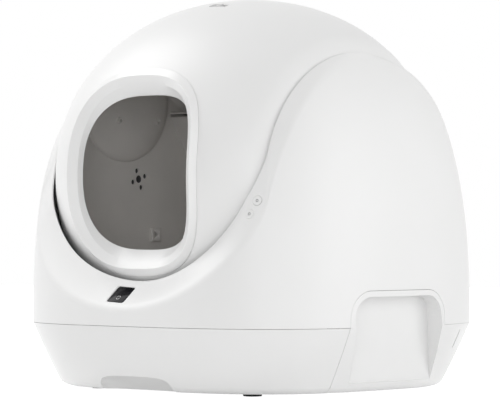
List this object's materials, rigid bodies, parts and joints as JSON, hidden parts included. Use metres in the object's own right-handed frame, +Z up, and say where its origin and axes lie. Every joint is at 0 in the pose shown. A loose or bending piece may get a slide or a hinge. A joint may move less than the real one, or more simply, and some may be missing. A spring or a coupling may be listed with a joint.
{
  "type": "self cleaning litter box",
  "caption": "Domed self cleaning cat litter box: a motor turned drum with a round entry over a slide-out waste drawer, in a white housing with a sloped collar.",
  "frame": {"origin": "on the floor under the middle of the housing's plan", "axes": "+Z up, the front with the entry faces -Y, the drum turns about the X direction"},
  "size_m": [0.6616, 0.617, 0.64],
  "materials": {
    "white_plastic": "satin",
    "dark_plastic": "fine matte",
    "grey_plastic": "matte",
    "black_gloss": "glossy",
    "rubber": "matte",
    "metal": "brushed",
    "circuit_board": "solder mask"
  },
  "bodies": {
    "housing": {"housing_shell": "white_plastic", "base_pan": "white_plastic", "idler_bracket": "grey_plastic", "drive_bracket": "grey_plastic", "rail_left": "grey_plastic", "rail_right": "grey_plastic", "display_window": "black_gloss", "power_inlet": "black_gloss", "foot_front_left": "rubber", "foot_front_right": "rubber", "foot_rear_left": "rubber", "foot_rear_right": "rubber", "bearing_left": "metal", "bearing_right": "metal", "gearmotor": "metal", "display_board": "circuit_board", "button_board": "circuit_board", "control_board": "circuit_board"},
    "drum": {"drum_shell": "white_plastic", "inner_liner": "dark_plastic", "entry_bezel": "white_plastic", "drum_end_left": "dark_plastic", "drum_end_right": "dark_plastic", "hub_left": "grey_plastic", "hub_right": "grey_plastic", "filter_dome": "dark_plastic", "storage_panel": "dark_plastic", "sieve": "dark_plastic", "wall_clip": "dark_plastic", "ring_gear": "grey_plastic"},
    "latch": {"drum_latch": "grey_plastic"},
    "pinion": {"drive_pinion": "metal"},
    "drawer": {"drawer_front": "white_plastic", "drawer_bin": "dark_plastic", "bag_ring": "grey_plastic"},
    "upper_button": {"button_upper": "white_plastic"},
    "lower_button": {"button_lower": "white_plastic"}
  },
  "joints": [
    {"name": "drum_turn", "type": "hinge", "parent": "housing", "child": "drum", "pos_m": [0, -0.008, 0.347], "axis": [1, 0, 0], "range_deg": [-270, 30]},
    {"name": "pinion_turn", "type": "hinge", "parent": "housing", "child": "pinion", "pos_m": [0.2633, 0.09119, 0.22879], "axis": [1, 0, 0], "range_deg": [-180, 1620]},
    {"name": "latch_slide", "type": "slide", "parent": "drum", "child": "latch", "axis": [1, 0, 0], "range_m": [0, 0.012]},
    {"name": "drawer_slide", "type": "slide", "parent": "housing", "child": "drawer", "axis": [0, -1, 0], "range_m": [0, 0.38]},
    {"name": "upper_button_press", "type": "slide", "parent": "housing", "child": "upper_button", "axis": [-0.244, 0.9198, -0.3072], "range_m": [0, 0.0012], "stiffness_N_per_m": 500, "springref_m": -0.001},
    {"name": "lower_button_press", "type": "slide", "parent": "housing", "child": "lower_button", "axis": [-0.1701, 0.9373, -0.3042], "range_m": [0, 0.0012], "stiffness_N_per_m": 500, "springref_m": -0.001}
  ],
  "couplings": [
    {"joint": "pinion_turn", "follows": "drum_turn", "ratio": -6}
  ]
}
